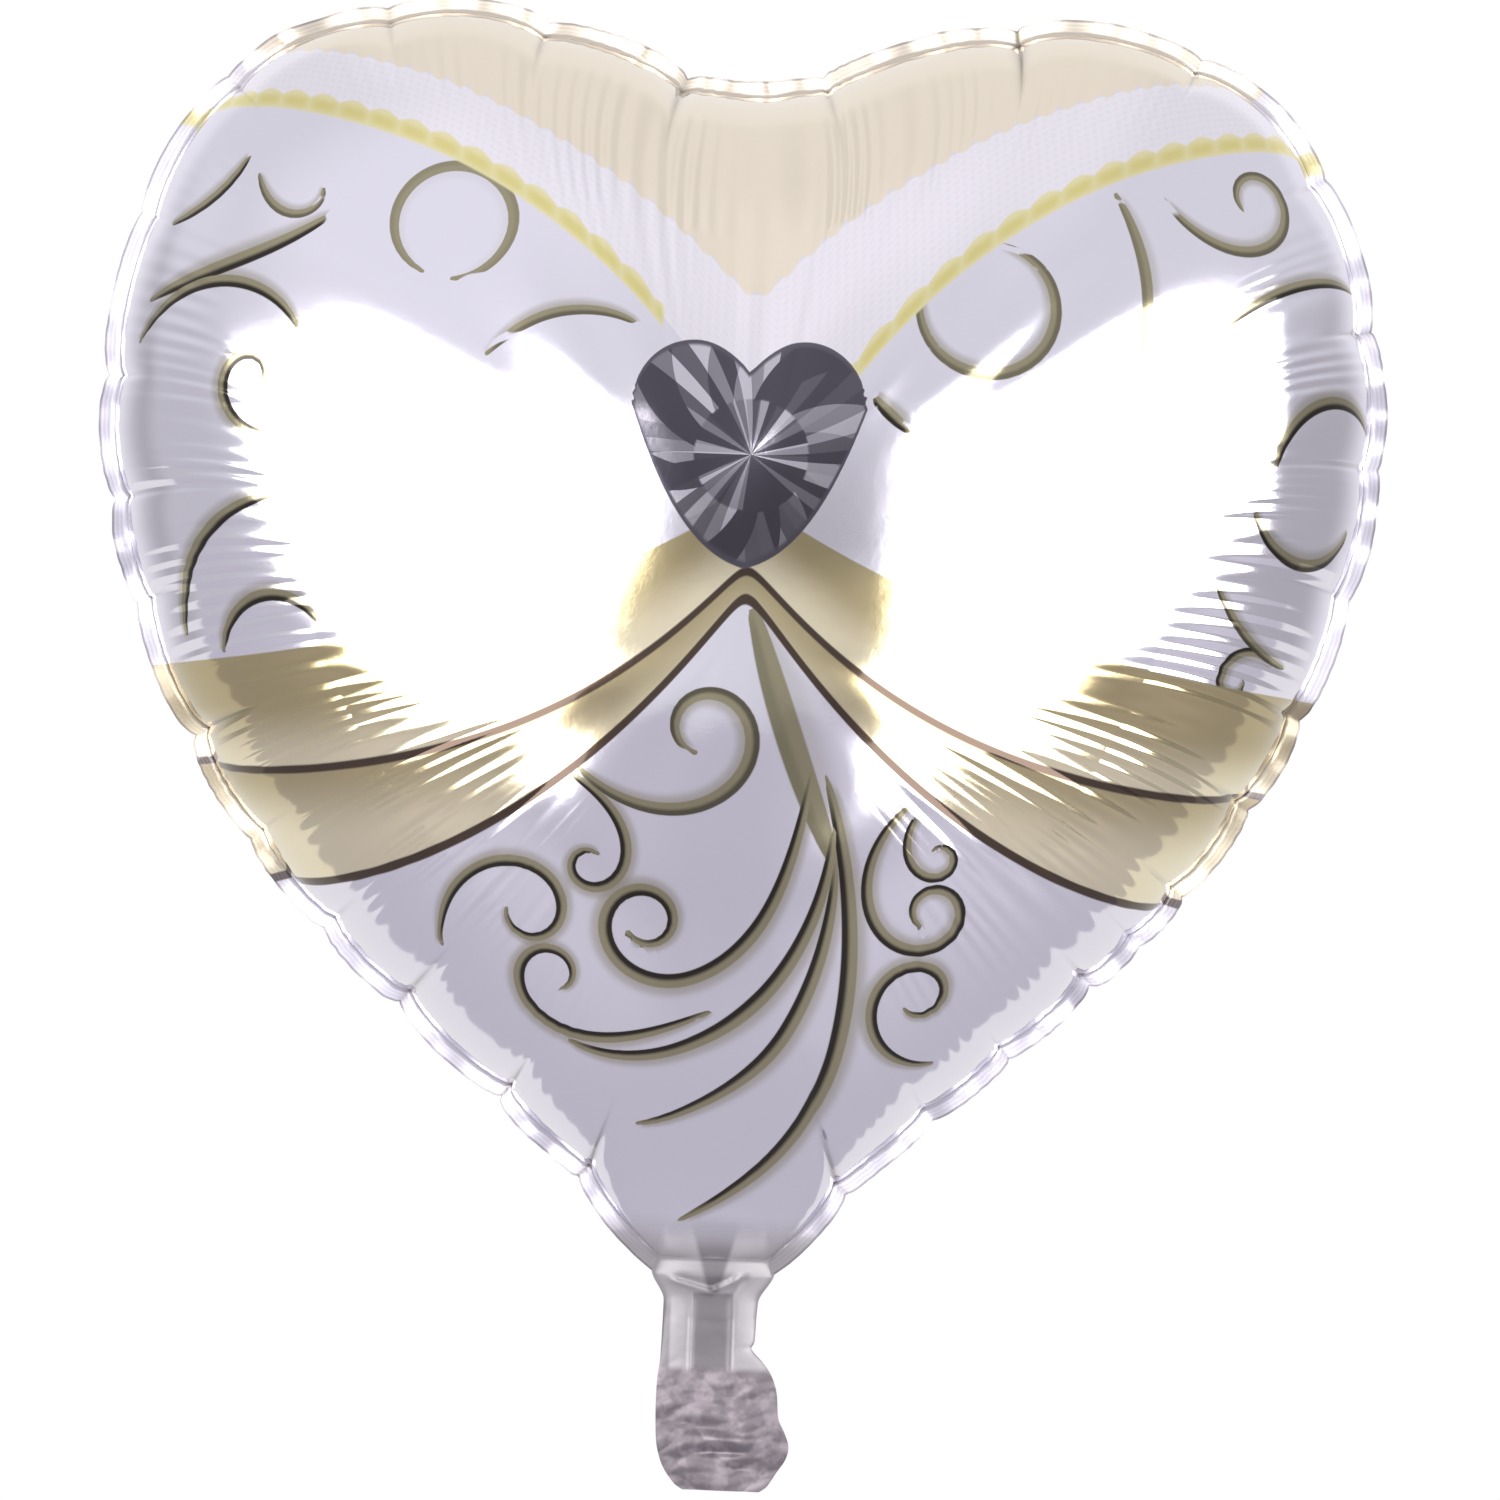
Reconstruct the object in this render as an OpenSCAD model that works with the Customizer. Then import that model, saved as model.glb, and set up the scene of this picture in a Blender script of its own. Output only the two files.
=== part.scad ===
// Heart-shaped foil balloon, inflated, with its flat tail hanging straight down.
// Millimetres. X runs across the heart, Z up, and the front faces -Y.
// The origin is on the neck, where a ribbon is tied, midway between the two films.

/* [Heart] */
// Width over both lobes, inflated
heart_w = 384; // [320:1:440]
// Thickness of the belly, front to back, inflated
heart_t = 168; // [120:1:200]
// Height of the belly's centre above the neck
belly_z = 186; // [160:1:210]
// Width of the flat heat-sealed seam round the edge
seam_w = 5; // [3:0.5:8]
// How much the belly sinks towards the cleft, as a share of its height
cleft_dip = 0.28; // [0:0.02:0.5]

/* [Film] */
// Drawn thickness of a foil film
film = 0.5; // [0.3:0.1:1]
// Drawn thickness of a valve film
valve_film = 0.2; // [0.1:0.05:0.3]

/* [Tail] */
// Width of the tail at the neck
tail_w = 31; // [26:1:36]
// Width of the tail's loose lower end
end_w = 38; // [30:1:44]
// Length from the neck to the tail's lower edge
tail_len = 68; // [55:1:90]
// Depth of the upper crease below the neck
neck_crease = 5; // [4:0.5:8]
// Depth of the lower crease below the neck
end_crease = 26; // [20:1:34]
// Radius of the tail's lower corners
corner_r = 5; // [1:1:12]

/* [Valve] */
// Width of the flat valve between the films
valve_w = 22; // [14:1:24]
// How far the valve reaches up into the belly
valve_rise = 60; // [30:5:90]
// Width of the filling slot through the front ply
slot_w = 10; // [6:1:14]
// Height of the filling slot
slot_h = 3; // [2:0.5:4]
// Depth of the filling slot below the neck
slot_z = 53; // [45:1:58]

/* [Smoothness] */
// Steps round the heart
around = 72; // [72:12:108]
// Steps from the belly's centre to the seam
across = 12; // [8:1:16]

/* [Hidden] */
$fn = 48;

PRINTED_FOIL = [0.86, 0.85, 0.90];
SILVER_FOIL = [0.75, 0.73, 0.76];
CLEAR_FILM = [0.80, 0.85, 0.90];

stack = film + valve_film;                    // half the thickness of the closed tail
crease_gap = 2 * (stack + 0.7);               // room for one crease to turn a right angle
stub_z = neck_crease - crease_gap / 2;        // depth of the neck's lower edge
half_w = heart_w / 2;
channel_w = valve_w + 1;

// Seam outline: angle above the horizontal through the belly's centre, and the
// reach from that centre as a share of half the width. One side, neck to cleft.
neck_reach = (belly_z + stub_z) / sin(85) / half_w;
REACH = [[-85, neck_reach], [-72, 0.85], [-50, 0.784], [-25, 0.822], [0, 0.932],
    [25, 1.095], [46, 1.188], [62, 1.11], [80, 0.925], [90, 0.868]];
LAST = len(REACH) - 1;

// Slope of the outline at one of its points, level at the cleft
function slope(i) =
    i == LAST ? 0 :
    let (a = REACH[max(i - 1, 0)], b = REACH[i + 1]) (b[1] - a[1]) / (b[0] - a[0]);

// Cubic through two neighbouring points of the outline
function cubic(i, angle) =
    let (a = REACH[i], b = REACH[i + 1], d = b[0] - a[0], u = (angle - a[0]) / d)
    a[1] * (1 + 2 * u) * pow(1 - u, 2) + b[1] * u * u * (3 - 2 * u)
        + d * slope(i) * u * pow(1 - u, 2) - d * slope(i + 1) * u * u * (1 - u);

function reach_between(angle, i = 0) =
    angle <= REACH[i + 1][0] || i == LAST - 1 ? cubic(i, angle) : reach_between(angle, i + 1);

// Distance from the belly's centre to the outer edge, for any angle. The neck's
// lower edge is straight and level.
function edge_r(angle) =
    let (side = asin(sin(angle)))
    side <= -85 ? (belly_z + stub_z) / -sin(side) : half_w * reach_between(side);

// Height of the belly over the seam's plane, from 1 at the centre to 0 at the seam
function puff(angle, v) =
    pow(1 - v * v, 0.6)
        * (1 - cleft_dip * v * v * exp(-pow((asin(sin(angle)) - 90) / 24, 2)));

// The films stay apart by the valve's thickness where it passes the seam
function seam_gap(angle) = asin(sin(angle)) <= -85 ? valve_film : 0;

function at(r, angle, y) = [r * cos(angle), y, belly_z + r * sin(angle)];

// One foil film of the heart: puffed outside, the flat seam, and puffed inside
module heart_film() {
    turn = [for (k = [0:around - 1]) 360 * k / around - 90];
    spread = [for (i = [1:across]) sin(90 * i / across)];
    outer = [for (v = spread) [for (a = turn)
        at((edge_r(a) - seam_w) * v, a, -film - seam_gap(a) * v - (heart_t / 2 - film) * puff(a, v))]];
    rim = [for (y = [film, 0]) [for (a = turn) at(edge_r(a), a, -y - seam_gap(a))]];
    inner = [for (i = [across - 1:-1:0]) let (v = spread[i]) [for (a = turn)
        at((edge_r(a) - seam_w - film) * v, a, -seam_gap(a) * v - (heart_t / 2 - film) * puff(a, v))]];
    rings = concat(outer, rim, inner);
    last = len(rings) * around;
    points = concat([for (ring = rings) each ring],
        [at(0, 0, -heart_t / 2), at(0, 0, film - heart_t / 2)]);
    sides = [for (j = [0:len(rings) - 2], k = [0:around - 1])
        let (n = (k + 1) % around, a = j * around + k, b = j * around + n)
        each [[a, b, b + around], [a, b + around, a + around]]];
    outer_cap = [for (k = [0:around - 1]) [last, (k + 1) % around, k]];
    inner_cap = [for (k = [0:around - 1])
        [last + 1, last - around + k, last - around + (k + 1) % around]];
    polyhedron(points, concat(sides, outer_cap, inner_cap));
}

// Flat strip of valve film on the front side, from one depth below the neck to another
module valve_strip(top, bottom) {
    translate([-valve_w / 2, -valve_film, -bottom]) cube([valve_w, valve_film, bottom - top]);
}

// Outline of a stretch of the tail, lying in the XZ plane
module ply_outline(top, bottom, top_w, bottom_w, round_r) {
    hull() {
        translate([-top_w / 2, -top - 1]) square([top_w, 1]);
        for (side = [-1, 1])
            translate([side * (bottom_w / 2 - round_r), round_r - bottom]) circle(round_r);
    }
}

// Front ply of the tail, sealed to the back one along both edges of the valve
module tail_ply(top, bottom, top_w, bottom_w, round_r) {
    difference() {
        rotate([90, 0, 0]) linear_extrude(stack) ply_outline(top, bottom, top_w, bottom_w, round_r);
        translate([-channel_w / 2, -valve_film, -bottom - 1]) cube([channel_w, 1, bottom - top + 2]);
    }
}

module to_back() {
    mirror([0, 1, 0]) children();
}

// Slot where the filling nozzle goes in, through the front ply and its valve film
module filling_slot() {
    rotate([90, 0, 0]) translate([0, -slot_z, -1]) linear_extrude(stack + 2) hull()
        for (side = [-1, 1]) translate([side * (slot_w - slot_h) / 2, 0]) circle(slot_h / 2);
}

tail_top = neck_crease + crease_gap / 2;
tail_bottom = end_crease - crease_gap / 2;
end_top = end_crease + crease_gap / 2;

module front_panel() {
    color(PRINTED_FOIL) heart_film();
}

module back_panel() {
    color(PRINTED_FOIL) to_back() heart_film();
}

module front_valve_film() {
    color(CLEAR_FILM) valve_strip(-valve_rise, stub_z);
}

module back_valve_film() {
    color(CLEAR_FILM) to_back() valve_strip(-valve_rise, stub_z);
}

module front_tail_ply() {
    color(SILVER_FOIL) tail_ply(tail_top, tail_bottom, tail_w, tail_w, 0.5);
}

module back_tail_ply() {
    color(SILVER_FOIL) to_back() tail_ply(tail_top, tail_bottom, tail_w, tail_w, 0.5);
}

module front_tail_valve_film() {
    color(CLEAR_FILM) valve_strip(tail_top, tail_bottom);
}

module back_tail_valve_film() {
    color(CLEAR_FILM) to_back() valve_strip(tail_top, tail_bottom);
}

module front_end_ply() {
    color(SILVER_FOIL) difference() {
        tail_ply(end_top, tail_len, tail_w, end_w, corner_r);
        filling_slot();
    }
}

module back_end_ply() {
    color(SILVER_FOIL) to_back() tail_ply(end_top, tail_len, tail_w, end_w, corner_r);
}

module front_end_valve_film() {
    color(CLEAR_FILM) difference() {
        valve_strip(end_top, tail_len - 4);
        filling_slot();
    }
}

module back_end_valve_film() {
    color(CLEAR_FILM) to_back() valve_strip(end_top, tail_len - 4);
}

front_panel();
back_panel();
front_valve_film();
back_valve_film();
front_tail_ply();
back_tail_ply();
front_tail_valve_film();
back_tail_valve_film();
front_end_ply();
back_end_ply();
front_end_valve_film();
back_end_valve_film();
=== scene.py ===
"""Heart-shaped foil balloon: two welded films, their print, and the creased tail with its valve.

Lengths are metres in meshes and millimetres in the print. X runs across the heart, Z up, and
the front faces -Y. Every surface is worked out with numpy on a grid.
"""

import logging
import math
from dataclasses import dataclass
from enum import Enum

import bpy
import numpy as np
from mathutils import Euler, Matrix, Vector

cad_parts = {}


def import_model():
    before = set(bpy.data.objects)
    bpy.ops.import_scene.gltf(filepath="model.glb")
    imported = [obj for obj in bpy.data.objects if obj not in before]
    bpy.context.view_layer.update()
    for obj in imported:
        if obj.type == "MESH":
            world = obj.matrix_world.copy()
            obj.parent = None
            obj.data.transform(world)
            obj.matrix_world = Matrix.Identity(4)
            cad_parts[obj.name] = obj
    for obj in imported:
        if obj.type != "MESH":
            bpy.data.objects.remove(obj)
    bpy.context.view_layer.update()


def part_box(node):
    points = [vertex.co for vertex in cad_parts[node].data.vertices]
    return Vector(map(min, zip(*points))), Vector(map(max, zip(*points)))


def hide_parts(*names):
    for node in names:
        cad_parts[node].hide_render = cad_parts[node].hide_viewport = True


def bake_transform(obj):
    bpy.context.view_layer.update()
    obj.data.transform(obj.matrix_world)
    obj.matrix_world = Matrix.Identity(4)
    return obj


MM = 0.001
LOG = logging.getLogger("foil_balloon")
Array = np.ndarray


def linear(hex_colour: str) -> tuple[float, float, float, float]:
    """Turns an sRGB hex colour into linear light.

    Args:
        hex_colour: Six hex digits, such as "E3E0EE".

    Returns:
        Linear red, green and blue, and an alpha of 1.
    """
    values = [int(hex_colour[i:i + 2], 16) / 255 for i in (0, 2, 4)]
    light = [v / 12.92 if v <= 0.04045 else ((v + 0.055) / 1.055) ** 2.4 for v in values]
    return (*light, 1.0)


def smooth(value: Array, low: float, high: float) -> Array:
    """Smooth step: 0 at low, 1 at high, and 3 t^2 - 2 t^3 between, with t the share of the way.

    Args:
        value: The values to ease.
        low: Where the step starts.
        high: Where the step ends, which may be below low.

    Returns:
        The eased values, from 0 to 1.
    """
    t = np.clip((value - low) / (high - low), 0, 1)
    return t * t * (3 - 2 * t)


def bell(value: Array, centre: float, width: float) -> Array:
    """A bell curve of height 1: exp(-((value - centre) / width)^2)."""
    return np.exp(-((value - centre) / width) ** 2)


def curve(points: tuple, at: Array) -> Array:
    """Joins points with cubics, each with the slope of the line through a point's neighbours.

    Args:
        points: Pairs of place and value, with rising places.
        at: The places to read, which are held inside the first and last one.

    Returns:
        The values there.
    """
    x, y = np.array(points, float).T
    slope = np.zeros_like(x)
    slope[1:-1] = (y[2:] - y[:-2]) / (x[2:] - x[:-2])
    slope[0] = (y[1] - y[0]) / (x[1] - x[0])
    i = np.clip(np.searchsorted(x, at) - 1, 0, len(x) - 2)
    d = x[i + 1] - x[i]
    u = np.clip((at - x[i]) / d, 0, 1)
    return (y[i] * (1 + 2 * u) * (1 - u) ** 2 + y[i + 1] * u * u * (3 - 2 * u)
            + d * slope[i] * u * (1 - u) ** 2 - d * slope[i + 1] * u * u * (1 - u))


class Side(Enum):
    """Which of the two films a surface belongs to, as the sign of its outward Y."""

    FRONT = -1
    BACK = 1


class Wander:
    """Smooth seeded noise on a ring: a sum of sines of whole numbers of waves."""

    def __init__(self, seed: int) -> None:
        """Seeds the noise."""
        self.rng = np.random.default_rng(seed)

    def __call__(self, share: Array, fewest: int, most: int) -> Array:
        """Gives noise of about unit size.

        Args:
            share: Shares of the way round the ring.
            fewest: Waves round the ring of the longest wave.
            most: Waves round the ring of the shortest wave.

        Returns:
            The noise at each share.
        """
        waves = np.arange(fewest, most + 1)
        size = self.rng.normal(size=len(waves)) * math.sqrt(2 / len(waves))
        start = self.rng.uniform(0, 2 * math.pi, len(waves))
        return np.sin(2 * math.pi * share[..., None] * waves + start) @ size


@dataclass
class Outline:
    """The heart's seam line, seen from the front, with its deep creases.

    Attributes:
        half_w: Half the width over the lobes, in metres.
        centre_z: Height of the belly's centre over the neck.
        neck_z: Height of the neck's lower edge, a little below 0.
        seam_w: Width of the flat welded edge outside the gas space.
        reach: Angle over the horizontal, and reach from the belly's centre as a share of
            half_w, for one side from the neck to the cleft.
        neck_angle: Angle over the horizontal of the neck's corner.
        creases: Angles of the deep creases, anticlockwise from the right.
    """

    half_w: float
    centre_z: float
    neck_z: float
    seam_w: float = 0.005
    reach: tuple = ((-72, 0.85), (-50, 0.784), (-25, 0.822), (0, 0.932), (25, 1.095),
                    (46, 1.188), (62, 1.11), (80, 0.925), (90, 0.868))
    neck_angle: float = -85.0
    creases: tuple = (-77, -66, -55, -42, -35, -28, -16, -6, 6, 17, 28, 40, 53, 67, 83, 97, 109,
                      121, 134, 146, 159, 169, 178, 192, 204, 217, 229, 245, 256)

    def edge(self, angle: Array) -> Array:
        """Distance from the belly's centre to the welded edge's outer line.

        It follows reach, except along the neck's lower edge, which is straight and level.

        Args:
            angle: Angles in radians.

        Returns:
            Distances in metres.
        """
        drop = self.centre_z - self.neck_z
        corner = (self.neck_angle, drop / math.sin(math.radians(-self.neck_angle)) / self.half_w)
        side = np.degrees(np.arcsin(np.sin(angle)))
        level = drop / np.maximum(-np.sin(angle), 0.5)
        return np.where(side <= self.neck_angle, level,
                        self.half_w * curve((corner, *self.reach), side))

    def seam(self, columns: int) -> tuple[Array, Array, Array]:
        """Walks round the seam at an even speed, anticlockwise from the neck's middle.

        Args:
            columns: How many points to give.

        Returns:
            Angles in radians, points of the seam, and unit normals that point outwards. Points
            and normals hold X and Z in their last axis.
        """
        steps = np.linspace(-0.5 * math.pi, 1.5 * math.pi, 7201)
        r = self.edge(steps) - self.seam_w
        x, z = r * np.cos(steps), r * np.sin(steps)
        length = np.concatenate([[0], np.cumsum(np.hypot(np.diff(x), np.diff(z)))])
        even = np.linspace(0, length[-1], columns + 1)[:-1]
        angle = np.interp(even, length, steps)
        r = self.edge(angle) - self.seam_w
        point = np.stack([r * np.cos(angle), self.centre_z + r * np.sin(angle)], -1)
        normal = np.roll(point, -1, 0) - np.roll(point, 1, 0)
        normal = np.stack([normal[:, 1], -normal[:, 0]], -1)
        for _ in range(columns // 8):
            normal = (np.roll(normal, 1, 0) + 2 * normal + np.roll(normal, -1, 0)) / 4
        return angle, point, normal / np.linalg.norm(normal, axis=-1, keepdims=True)

    def from_crease(self, angle: Array, values: Array) -> tuple[Array, Array, Array]:
        """Places angles in the stretches between two creases.

        Args:
            angle: Angles in radians, from -90 degrees to 270.
            values: A value for each crease, after a first one for the neck.

        Returns:
            How crease-like each place is, which is 1 on a crease and falls as
            1 - 2 sqrt(u (1 - u)) with u the share of the way to the next, the value there,
            which runs evenly from crease to crease, and the stretch's width in radians.
        """
        marks = np.radians(np.array((-90.0, *self.creases, 270.0)))
        i = np.clip(np.searchsorted(marks, angle, side="right") - 1, 0, len(marks) - 2)
        wide = marks[i + 1] - marks[i]
        u = np.clip((angle - marks[i]) / wide, 0, 1)
        ends = np.append(values, values[0])
        return 1 - 2 * np.sqrt(u * (1 - u)), ends[i] * (1 - u) + ends[i + 1] * u, wide


@dataclass
class Grid:
    """A film's grid: columns round the seam, and rings from the welded edge to the middle.

    Attributes:
        columns: Columns at the seam.
        rim_rings: Cells across the welded edge.
        zones: Cells from the seam to the middle, and the columns that they skip.
    """

    columns: int = 1440
    rim_rings: int = 3
    zones: tuple = ((42, 1), (22, 2), (12, 4), (7, 8))

    @property
    def turns(self) -> Array:
        """Ring places as angles of a quarter turn: 0 at the seam and 90 degrees at the middle."""
        cells = sum(count for count, _ in self.zones) + 1
        return np.linspace(0, 0.5 * math.pi, cells + 1)[:-1]

    @property
    def skips(self) -> Array:
        """How many columns each ring skips, from the edge to the middle."""
        inner = [skip for count, skip in self.zones for _ in range(count)]
        return np.array([1] * self.rim_rings + inner + [self.zones[-1][1]])

    def polygons(self) -> tuple[list[Array], Array]:
        """Joins the rings.

        Returns:
            Arrays of faces with 4, 5 and 3 corners, and a table of each ring and column's
            vertex number, which is -1 where the ring skips it. The middle is the last vertex.
        """
        skips = self.skips
        number = np.full((len(skips), self.columns), -1)
        count = 0
        for ring, skip in enumerate(skips):
            used = np.arange(0, self.columns, skip)
            number[ring, used] = count + np.arange(len(used))
            count += len(used)
        quads, fives = [], []
        for ring in range(len(skips) - 1):
            near, far = skips[ring], skips[ring + 1]
            a = np.arange(0, self.columns, far)
            b = (a + far) % self.columns
            if near == far:
                quads.append(np.stack([number[ring, a], number[ring, b],
                                       number[ring + 1, b], number[ring + 1, a]], -1))
            else:
                fives.append(np.stack([number[ring, a], number[ring, (a + near) % self.columns],
                                       number[ring, b], number[ring + 1, b],
                                       number[ring + 1, a]], -1))
        a = np.arange(0, self.columns, skips[-1])
        b = (a + skips[-1]) % self.columns
        fan = np.stack([number[-1, a], number[-1, b], np.full(len(a), count)], -1)
        return [np.concatenate(quads), np.concatenate(fives), fan], number


@dataclass
class Puff:
    """The inflated heart: a taut membrane's height over the seam, with creases and pleats.

    Attributes:
        outline: The seam line.
        half_t: Half the balloon's thickness at its fullest.
        neck_open: Half the neck's opening.
        orders: How many waves round the heart the membrane is built from.
        fullness: The power of the membrane that gives the height; a half is a soap film's.
        valley: How much the belly sinks towards the cleft.
        valley_width: How wide the valley is, in degrees.
        taper: How far from the neck the belly flattens towards it.
        pleats: How many fine pleats there are round the seam.
        pleat_height: Height of a fine pleat's wave over its mean.
        pleat_zones: Angle over the horizontal, how far up the film the pleats run there, and
            how strong they are.
        crease_depth: Depth of a deep crease at the seam.
        crease_reach: How far a deep crease runs up the film.
        lobe: Angle over the horizontal of a lobe's crown, and how far a lobe spreads, in degrees.
        cleft_spread: How far beside the cleft the creases deepen, in degrees.
        swell: Height of the slow swell.
        ripple: Height of the welded edge's ripple.
        weld_gap: Half the gap between the two films at the weld.
        mouth: Half the width of the neck's opening at the seam.
        neck_share: The share of the seam beside the neck's middle which has no ripple.
        seed: The noise's seed.
    """

    outline: Outline
    half_t: float
    neck_open: float = 0.0048
    orders: int = 24
    fullness: float = 0.53
    valley: float = 0.2
    valley_width: float = 17.0
    taper: float = 0.075
    pleats: int = 204
    pleat_height: float = 0.0002
    pleat_zones: tuple = ((-90, 0.05, 0.3), (-70, 0.07, 0.6), (-50, 0.115, 1.1), (-25, 0.125, 1.1),
                          (-5, 0.095, 0.9), (15, 0.08, 0.7), (35, 0.06, 0.3), (60, 0.06, 0.25),
                          (76, 0.1, 0.9), (90, 0.14, 1.9))
    crease_depth: float = 0.0036
    crease_reach: float = 0.058
    lobe: tuple = (48, 20)
    cleft_spread: float = 22.0
    swell: float = 0.00014
    ripple: float = 0.0006
    weld_gap: float = 0.00012
    mouth: float = 0.0165
    neck_share: float = 0.02
    seed: int = 18

    def __post_init__(self) -> None:
        """Fits the membrane q, which obeys laplace(q) = -1 and is 0 along the seam.

        q = sum of w_n (r / R)^n cos(n a) - r^2 / 4, with a the angle from straight up, and
        least squares finds the weights w_n that make q vanish along the seam.
        """
        _, point, _ = self.outline.seam(720)
        self.far = self.outline.half_w * 1.15
        waves, bowl = self._waves(point[:, 0], point[:, 1])
        self.weights = np.linalg.lstsq(waves, -bowl, rcond=None)[0]
        self.fullest = 1.0
        rise = np.linspace(-0.4, 0.6, 201) * self.far
        self.fullest = self.membrane(0 * rise, self.outline.centre_z + rise).max()

    def _waves(self, x: Array, z: Array) -> tuple[Array, Array]:
        """The membrane's waves, one a column, and its bowl -r^2 / 4, at some points."""
        dx, dz = x / self.far, (z - self.outline.centre_z) / self.far
        r, a = np.hypot(dx, dz), np.arctan2(dx, dz)
        n = np.arange(self.orders)
        return r[..., None] ** n * np.cos(n * a[..., None]), -r * r / 4

    def membrane(self, x: Array, z: Array) -> Array:
        """The membrane, 1 at its fullest and 0 at the seam, with the valley below the cleft.

        What the fit leaves at the seam is taken away with the eighth power of the share of
        the way out, so the seam itself is exact.
        """
        waves, bowl = self._waves(x, z)
        out, angle = np.hypot(x, z - self.outline.centre_z), np.arctan2(z - self.outline.centre_z, x)
        edge = self.outline.edge(angle) - self.outline.seam_w
        edge_waves, edge_bowl = self._waves(edge * np.cos(angle),
                                            self.outline.centre_z + edge * np.sin(angle))
        rest = (edge_waves @ self.weights + edge_bowl) * (out / edge) ** 8
        near_cleft = bell(np.mod(np.degrees(angle) + 90, 360), 180, self.valley_width)
        sink = 1 - self.valley * near_cleft * smooth(out / self.outline.half_w, 0.15, 0.8)
        rise = z - self.outline.neck_z - self.outline.seam_w
        sink = sink * (0.05 * smooth(rise, 0, 0.02) + 0.95 * smooth(np.hypot(x, z), 0, self.taper))
        return (waves @ self.weights + bowl - rest) / self.fullest * sink

    def skin(self, x: Array, z: Array) -> tuple[Array, Array]:
        """The smooth film over points of the seam's plane.

        The height is half_t q^p, and the outward normal points along (-p half_t grad q,
        q^(1 - p)), which stays finite at the seam.

        Args:
            x: Places across the heart.
            z: Places up the heart.

        Returns:
            Heights, and unit normals as X, height and Z.
        """
        step = 0.0008
        q = np.maximum(self.membrane(x, z), 0)
        push = -self.fullness * self.half_t
        slope_x = (self.membrane(x + step, z) - self.membrane(x - step, z)) / (2 * step)
        slope_z = (self.membrane(x, z + step) - self.membrane(x, z - step)) / (2 * step)
        normal = np.stack([push * slope_x, q ** (1 - self.fullness) + 1e-6, push * slope_z], -1)
        normal /= np.linalg.norm(normal, axis=-1, keepdims=True)
        return self.half_t * q ** self.fullness, normal

    def relief(self, angle: Array, run: Array, side: Side) -> tuple[Array, Array]:
        """How far the film stands out of its smooth shape.

        Deep creases: -depth crease(u) (1 - smooth step of the run to the crease's reach).
        Fine pleats: height sin(2 pi phase), where the phase counts pleats round the seam and
        wanders a little, and the height rises and falls along the run. A slow swell makes
        the film's tension uneven.

        Args:
            angle: Angle of each column, in radians.
            run: Length of film from the seam to each point, one row a column.
            side: The film.

        Returns:
            Distances along the outward normal, in metres, and how deep in the shade of a deep
            crease each place is, from 0 to 1, both with run's shape.
        """
        shared, own = Wander(self.seed), Wander(self.seed + 2 + side.value)
        share = np.arange(len(angle)) / len(angle)
        turned, over = np.degrees(angle), np.degrees(np.arcsin(np.sin(angle)))
        marks = len(self.outline.creases) + 1
        depths = shared.rng.uniform(0.55, 1.1, marks) * self.crease_depth
        depths[0] = 0.0
        crease, depth, wide = self.outline.from_crease(angle, depths)
        reaches = own.rng.uniform(0.6, 1.3, marks) * self.crease_reach
        reach = self.outline.from_crease(angle, reaches)[1]
        lobe = bell(over, *self.lobe)
        depth = depth * np.clip(np.degrees(wide) / 12, 0.6, 1.3) * (1 - 0.4 * lobe)
        reach = reach * (1 - 0.35 * lobe)
        gather = 1 + 1.3 * bell(turned, 90, self.cleft_spread)
        fold = smooth(run, reach[:, None] * gather[:, None] ** 0.5, 0)
        relief = -(crease * depth * gather ** 0.4)[:, None] * fold
        # How strongly shade is painted into the colour beside each deep crease.
        dark = (crease ** 3 * depth / self.crease_depth)[:, None] * fold
        phase = self.pleats * share + 0.3 * shared(share, 9, 40)
        zone, stop, strength = np.array(self.pleat_zones).T
        strength = np.clip(1 + 0.25 * own(share, 4, 60), 0.4, 1.6) * np.interp(over, zone, strength)
        stop = (1 + 0.12 * own(share, 5, 110)) * np.interp(over, zone, stop)
        tall = 0.45 + 0.55 * smooth(run, 0.015, 0.055)
        tall = tall * smooth(run, stop[:, None], stop[:, None] * 0.62)
        relief += self.pleat_height * np.sin(2 * math.pi * phase)[:, None] * strength[:, None] * tall
        band = smooth(run, 0.0, 0.05) * smooth(run, 0.19, 0.11)
        relief += self.swell * own(share, 6, 22)[:, None] * band
        neck = bell(np.mod(share + 0.5, 1) - 0.5, 0, self.neck_share)
        return relief * (1 - 0.85 * neck[:, None] * smooth(run, 0.05, 0)), dark

    def shape(self, grid: Grid, side: Side) -> "Film":
        """Works out one film: its points, its run from the seam, and its flat print plane.

        Transverse lines leave the seam square to it and bend to the belly's centre:
        p(t) = (1 - t) radial + blend (square - radial).

        Args:
            grid: The film's rings and columns.
            side: Front or back.

        Returns:
            The film's arrays.
        """
        angle, seam, normal = self.outline.seam(grid.columns)
        pole = np.array([0.0, self.outline.centre_z])
        radial = pole - seam
        size = np.linalg.norm(radial, axis=-1, keepdims=True)
        share = np.mod(np.arange(grid.columns) / grid.columns + 0.5, 1) - 0.5
        lead = 1.0 - 0.85 * bell(share, 0, 0.09)[:, None]
        t = (1 - np.cos(grid.turns))[None, :, None]
        bend = t * (1 - t) ** 2
        flat = seam[:, None] + radial[:, None] * t
        flat = flat + (-normal * size - radial)[:, None] * lead[:, None] * bend
        y, out = self.skin(flat[..., 0], flat[..., 1])
        point = np.stack([flat[..., 0], side.value * y, flat[..., 1]], -1)
        middle_y = self.skin(np.zeros(1), np.array([self.outline.centre_z]))[0][0]
        steps = np.linalg.norm(np.diff(point, axis=1), axis=-1)
        last = np.linalg.norm(point[:, -1] - (0, side.value * middle_y, pole[1]), axis=-1)
        run = np.concatenate([np.zeros((len(steps), 1)), np.cumsum(steps, 1)], 1)
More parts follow.
